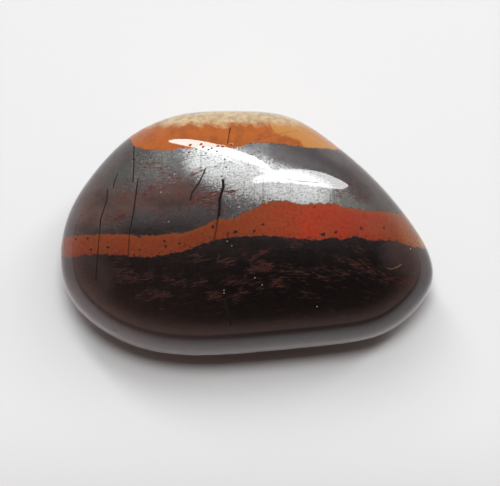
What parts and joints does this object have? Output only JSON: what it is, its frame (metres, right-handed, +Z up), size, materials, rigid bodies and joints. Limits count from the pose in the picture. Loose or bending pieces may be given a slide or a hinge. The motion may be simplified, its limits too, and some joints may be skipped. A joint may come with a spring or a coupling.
{
  "type": "tumbled tiger iron pebble",
  "caption": "Polished tumbled pebble of banded red jasper and grey hematite, a rounded triangle in outline, domed on top and resting on a small flat spot.",
  "frame": {"origin": "middle of the stone's bounding box at the resting plane", "axes": "+Z up from the flat spot that the stone rests on, +X along the stone's length towards its narrow tip, +Y towards its thick back"},
  "size_m": [0.0288, 0.0184, 0.012],
  "materials": {
    "polished_stone": "tumbled and polished, banded"
  },
  "bodies": {
    "root": {"stone": "polished_stone"}
  },
  "joints": []
}
